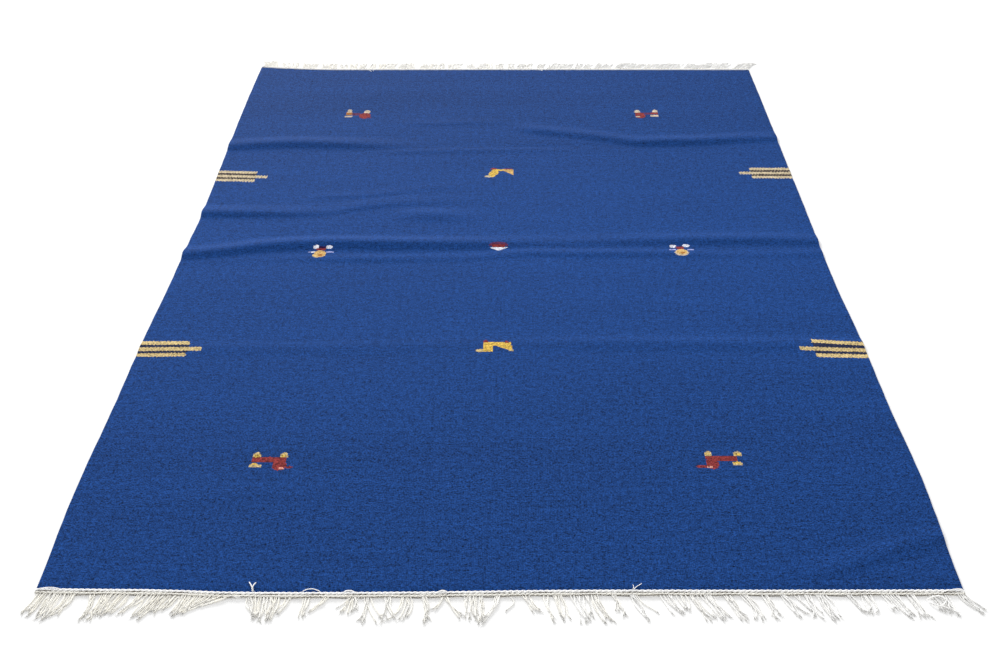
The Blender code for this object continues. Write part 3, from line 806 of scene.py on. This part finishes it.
def make_floor_finish():
    """A plain pale floor with the faintest mottling."""
    floor = NodeTree("pale_floor")
    place = floor.tree.nodes.new("ShaderNodeTexCoord").outputs["Object"]
    shade = floor.spread(floor.noise(place, 2.0), 0.995, 1.0)
    white = floor.mix(1.0, FLOOR_COLOUR, floor.join(shade, shade, shade), "MULTIPLY")
    floor.set_input(floor.shader.inputs["Base Color"], white)
    floor.shader.inputs["Roughness"].default_value = FLOOR_ROUGHNESS
    floor.shader.inputs["Specular IOR Level"].default_value = 0.0
    return floor.material


def make_field(wool):
    """The woven field: one sheet on the rug's outline and folds, cut finer under its figures."""
    rows = cloth_rows()
    shapes = motif_shapes()
    sheet = bmesh.new()
    bmesh.ops.create_grid(sheet, x_segments=SHEET_COLUMNS, y_segments=len(rows) - 1, size=0.5)
    for point in sheet.verts:
        row = round((point.co.y + 0.5) * (len(rows) - 1))
        point.co = (point.co.x + 0.5, rows[row], 0.0)

    fine = []
    for face in sheet.faces:
        corners = [charted_place(*cloth_place(corner.co.x, corner.co.y)) for corner in face.verts]
        low_x, high_x = min(x for x, _ in corners), max(x for x, _ in corners)
        low_y, high_y = min(y for _, y in corners), max(y for _, y in corners)
        for _, left, right, low, high, _, drop in shapes:
            beside = low_x < right and high_x > left
            if beside and low_y < high + SHAPE_MARGIN and high_y > low - drop - SHAPE_MARGIN:
                fine.append(face)
                break
    edges = list({edge for face in fine for edge in face.edges})
    bmesh.ops.subdivide_edges(sheet, edges=edges, cuts=MOTIF_CUTS, use_grid_fill=True)

    for point in sheet.verts:
        x, y = cloth_place(point.co.x, point.co.y)
        point.co = (x, y, cloth_lift(x, y))
    # Without a seed this noise would start from the clock, and differ from run to run.
    noise.seed_set(YARN_WANDER_SEED)
    near_shapes = {}
    layer = sheet.loops.layers.float_color.new("yarn")
    for face in sheet.faces:
        middle = face.calc_center_median()
        chart_x, chart_y = charted_place(middle.x, middle.y)
        tile = (round(chart_x / SHAPE_TILE), round(chart_y / SHAPE_TILE))
        if tile not in near_shapes:
            near_shapes[tile] = shapes_near(shapes, tile[0] * SHAPE_TILE, tile[1] * SHAPE_TILE)
        colour = yarn_at(chart_x, chart_y, near_shapes[tile])
        for corner in face.loops:
            corner[layer] = (*colour, 1.0)
    field = new_piece("wool_field", sheet, wool)
    thickness = field.modifiers.new("cloth_thickness", "SOLIDIFY")
    thickness.thickness = CLOTH_THICKNESS
    thickness.offset = 1.0
    rounding = field.modifiers.new("rounded_selvedge", "BEVEL")
    rounding.width = EDGE_ROUND
    rounding.segments = EDGE_ROUND_SEGMENTS
    rounding.limit_method = "ANGLE"
    rounding.angle_limit = math.radians(EDGE_ROUND_ANGLE)
    apply_modifiers(field)
    return field


class YarnMesh:
    """A mesh that yarns are laid into, each a closed tube with its own plies and tint."""

    def __init__(self):
        self.bm = bmesh.new()
        self.ply = self.bm.loops.layers.uv.new("ply")
        self.tint = self.bm.loops.layers.float_color.new("yarn")

    def face(self, corners, places, tint):
        face = self.bm.faces.new(corners)
        for loop, place in zip(face.loops, places):
            loop[self.ply].uv = place
            loop[self.tint] = (*tint, 1.0)

    def lay(self, course, radii, sides, tint, pitch=PLY_PITCH):
        """Lays a tube along a course of points, with a radius at each point."""
        rings = []
        for step, point in enumerate(course):
            ahead = course[min(step + 1, len(course) - 1)]
            behind = course[max(step - 1, 0)]
            heading = (ahead - behind).normalized()
            side = heading.cross(Vector((0.0, 0.0, 1.0)))
            side = side.normalized() if side.length > 1e-4 else Vector((1.0, 0.0, 0.0))
            up = side.cross(heading).normalized()
            ring = []
            for corner in range(sides):
                angle = 2.0 * math.pi * corner / sides
                out = side * math.cos(angle) + up * math.sin(angle)
                ring.append(self.bm.verts.new(point + out * radii[step]))
            rings.append(ring)
        travelled = [0.0]
        for first, second in zip(course, course[1:]):
            travelled.append(travelled[-1] + (second - first).length)
        for step in range(len(rings) - 1):
            low, high = rings[step], rings[step + 1]
            v_low, v_high = travelled[step] / pitch, travelled[step + 1] / pitch
            for corner in range(sides):
                after = (corner + 1) % sides
                u_low, u_high = corner / sides, (corner + 1) / sides
                self.face(
                    (low[corner], high[corner], high[after], low[after]),
                    ((u_low, v_low), (u_low, v_high), (u_high, v_high), (u_high, v_low)),
                    tint,
                )
        self.face(rings[0], [(0.5, 0.0)] * sides, tint)
        self.face(list(reversed(rings[-1])), [(0.5, travelled[-1] / pitch)] * sides, tint)


def twined_course(end, away, height, helix, pitch, turn, steps):
    """A strand that winds round the line that runs beside a woven end."""
    x_first, _ = end_point(0.0, end["edge"])
    x_last, _ = end_point(1.0, end["edge"])
    count = int((x_last - x_first) / pitch * steps)
    course = []
    for station in range(count + 1):
        share = station / count
        x, y = end_point(share, end["edge"])
        angle = 2.0 * math.pi * (station / steps + turn)
        course.append(Vector((
            x,
            y + end["outward"] * (away + helix * math.cos(angle)),
            height + helix * math.sin(angle),
        )))
    return course


def make_twining(name, end, cotton):
    """The twined cord along a woven end: two strands wound round each other."""
    yarns = YarnMesh()
    helix = CORD_RADIUS - TWINE_STRAND
    for turn in (0.0, 0.5):
        course = twined_course(
            end, PIECE_GAP + CORD_RADIUS, CORD_RADIUS, helix, TWINE_PITCH, turn, TWINE_STEPS
        )
        radii = [TWINE_STRAND] * len(course)
        radii[0] = radii[-1] = TWINE_STRAND * TWINE_END_TAPER
        yarns.lay(course, radii, TWINE_SIDES, CORD_WHITE, pitch=TWINE_PLY_PITCH)
    bmesh.ops.recalc_face_normals(yarns.bm, faces=yarns.bm.faces)
    return new_piece(name, yarns.bm, cotton)


def woven_end_y(x, edge):
    """The y of a woven end at an x, on the straight stretches between its columns."""
    first, _ = end_point(0.0, edge)
    last, _ = end_point(1.0, edge)
    return end_point(min(max((x - first) / (last - first), 0.0), 1.0), edge)[1]


def far_sheaves():
    """The far fringe as a table like the near one's, with tassels at an even pitch that stray a little."""
    dice = random.Random(ENDS["far"]["seed"])
    sheaves = []
    for tassel in range(FAR_TASSEL_COUNT):
        root_x, _ = end_point((tassel + 0.5) / FAR_TASSEL_COUNT, 1)
        root_x += dice.uniform(-FAR_ROOT_STRAY, FAR_ROOT_STRAY)
        lean, reach = read_table(FAR_TASSELS, root_x)
        reach *= dice.uniform(*FAR_REACHES)
        tip_x = root_x + reach * math.tan(math.radians(lean + dice.uniform(*FAR_LEAN_STRAYS)))
        half_root, half_tip = FAR_ROOT_SPREAD / 2, FAR_TIP_SPREAD / 2 * dice.uniform(*FAR_TIP_SPREADS)
        row = (root_x - half_root, root_x + half_root, tip_x - half_tip, tip_x + half_tip)
        row += (FAR_ROOTS_AWAY + reach, dice.uniform(-FAR_BOW_STRAY, FAR_BOW_STRAY))
        sheaves.append([1000 * value for value in row] + [dice.choice(FAR_YARN_COUNTS)])
    return sheaves


def yarn_course(root_x, tip_x, reach, bow, end, dice, lift):
    """The course of one yarn, from under the twined cord to its tip on the floor."""
    start_y = woven_end_y(root_x, end["edge"])
    bow += dice.uniform(-YARN_BOW_STRAY, YARN_BOW_STRAY)
    wave = dice.uniform(-YARN_WAVE, YARN_WAVE)
    curl = dice.uniform(-YARN_CURL, YARN_CURL)
    course = []
    for step in range(YARN_STEPS + 1):
        share = step / YARN_STEPS
        x = root_x + (tip_x - root_x) * share**1.08
        x += bow * math.sin(math.pi * share) + wave * math.sin(3.0 * math.pi * share) + curl * share**6
        y = start_y + end["outward"] * (YARN_START + (reach - YARN_START) * share)
        z = YARN_RADIUS + YARN_ROOT_RISE * (1.0 - share) ** 5
        z += lift * math.sin(math.pi * min(share * 1.15, 0.9))
        course.append(Vector((x, y, z)))
    return course


def lay_sheaf(yarns, sheaf, end, dice):
    """The yarns of one sheaf, each with a frayed tip."""
    root_left, root_right, tip_left, tip_right, reach, bow = (value / 1000 for value in sheaf[:6])
    count = sheaf[6]
    warmth = WARMTH_MIDDLE - WARMTH_FALL * root_left + dice.uniform(-WARMTH_STRAY, WARMTH_STRAY)
    warmth = min(1.0, max(0.0, warmth))
    for yarn in range(count):
        place = (yarn + 0.5) / count
        root_x = root_left + (root_right - root_left) * place
        root_x += dice.uniform(-YARN_ROOT_STRAY, YARN_ROOT_STRAY)
        tip_x = tip_left + (tip_right - tip_left) * place
        tip_x += dice.uniform(-YARN_TIP_STRAY, YARN_TIP_STRAY)
        lift = YARN_LIFTS[yarn % 2] + dice.uniform(0.0, YARN_LIFT_STRAY)
        length = reach * dice.uniform(*YARN_LENGTHS)
        course = yarn_course(root_x, tip_x, length, bow, end, dice, lift)
        # The far end's share darkens its yarns: painted shade.
        shade = dice.uniform(*YARN_SHADES) * end["shade"]
        tint = [
            (white + (cream - white) * warmth) * shade
            for white, cream in zip(COTTON_WHITE, COTTON_CREAM)
        ]
        radius = YARN_RADIUS * dice.uniform(*YARN_THICKNESSES)
        radii = [radius] * len(course)
        radii[-1] = radius * YARN_TIP_SWELL
        yarns.lay(course, radii, YARN_SIDES, tint)
        heading = (course[-1] - course[-2]).normalized()
        for _ in range(FRAYS):
            swing = Vector([dice.uniform(*swings) for swings in FRAY_SWINGS])
            tip = course[-1] + (heading + swing) * dice.uniform(*FRAY_LENGTHS)
            tip.z = max(tip.z, FRAY_LOWEST)
            root = course[-1] - heading * FRAY_OVERLAP
            # The frays are tinted grey: painted shade at the yarn tips.
            yarns.lay([root, (root + tip) / 2, tip], FRAY_RADII, FRAY_SIDES, FRAY_PAINTED_SHADE)


def lay_loose_end(yarns, radius, points):
    """A loose end of twine on a smooth curve through its points."""
    row = [(step, *(value / 1000 for value in point)) for step, point in enumerate(points)]
    steps = LOOSE_END_STEPS * (len(points) - 1)
    course = [Vector(read_table(row, step / LOOSE_END_STEPS)) for step in range(steps + 1)]
    radii = [radius / 1000] * len(course)
    radii[0] = radii[-1] = radius / (1000 * LOOSE_END_TAPER)
    yarns.lay(course, radii, YARN_SIDES, COTTON_WHITE)


def make_tassels(name, end_name, cotton):
    """The fringe of one end: a cream row and thin brown strands of painted shadow beside its cord, its
    sheaves of yarn and its loose ends.
    """
    yarns = YarnMesh()
    end = ENDS[end_name]
    for away, height, helix, pitch, radius, turn, tint in ROOT_ROWS:
        course = twined_course(end, away, height, helix, pitch, turn, ROOT_ROW_STEPS)
        yarns.lay(course, [radius] * len(course), YARN_SIDES, tint)
    dice = random.Random(end["seed"])
    for sheaf in NEAR_SHEAVES if end_name == "near" else far_sheaves():
        lay_sheaf(yarns, sheaf, end, dice)
    for radius, points in LOOSE_ENDS[end_name]:
        lay_loose_end(yarns, radius, points)
    bmesh.ops.recalc_face_normals(yarns.bm, faces=yarns.bm.faces)
    return new_piece(name, yarns.bm, cotton)


def make_stage():
    """The floor, the lights and the camera."""
    clear_selection()
    bpy.ops.mesh.primitive_plane_add(size=FLOOR_SIZE, location=(0.0, 0.0, 0.0))
    floor = bpy.context.object
    floor.name = "floor"
    floor.data.materials.append(make_floor_finish())
    clear_selection()

    world = bpy.data.worlds.new("studio")
    world.use_nodes = True
    backdrop = world.node_tree.nodes["Background"]
    backdrop.inputs["Color"].default_value = WORLD_COLOUR
    backdrop.inputs["Strength"].default_value = WORLD_STRENGTH
    bpy.context.scene.world = world
    light = bpy.data.lights.new("soft_light", "AREA")
    light.shape = "DISK"
    light.size = LIGHT_SIZE
    light.energy = LIGHT_POWER
    lamp = bpy.data.objects.new("soft_light", light)
    lamp.location = LIGHT_PLACE
    lamp.rotation_euler = (-Vector(LIGHT_PLACE)).to_track_quat("-Z", "Y").to_euler()
    bpy.context.scene.collection.objects.link(lamp)

    lens = bpy.data.cameras.new("camera")
    lens.lens = CAMERA_LENS
    lens.sensor_width = SENSOR_WIDTH
    lens.sensor_fit = "HORIZONTAL"
    lens.clip_start = CAMERA_CLIP_START
    lens.clip_end = CAMERA_CLIP_END
    camera = bpy.data.objects.new("camera", lens)
    turn = Matrix.Rotation(math.radians(CAMERA_TURN), 4, "Z")
    tilt = Matrix.Rotation(math.radians(90.0 - CAMERA_DOWN), 4, "X")
    roll = Matrix.Rotation(math.radians(CAMERA_ROLL), 4, "Z")
    camera.matrix_world = Matrix.Translation(CAMERA_PLACE) @ turn @ tilt @ roll
    bpy.context.scene.collection.objects.link(camera)
    bpy.context.scene.camera = camera
    bpy.context.scene.view_settings.view_transform = "Standard"
    bpy.context.scene.view_settings.look = "None"


def main():
    make_stage()
    twined_cotton = make_cotton("twined_cotton", TWINED_GROOVE_SHADE)
    fringe_cotton = make_cotton("fringe_cotton", FRINGE_GROOVE_SHADE)
    field = make_field(make_wool())
    trim = []
    for end_name, end in ENDS.items():
        cord = make_twining(end_name + "_twining", end, twined_cotton)
        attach(cord, "root")
        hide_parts(end_name + "_end_cord")
        tassels = make_tassels(end_name + "_tassels", end_name, fringe_cotton)
        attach(tassels, "root")
        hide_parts(end_name + "_fringe")
        trim += [cord, tassels]
    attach(field, "root")
    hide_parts("woven_field")


main()
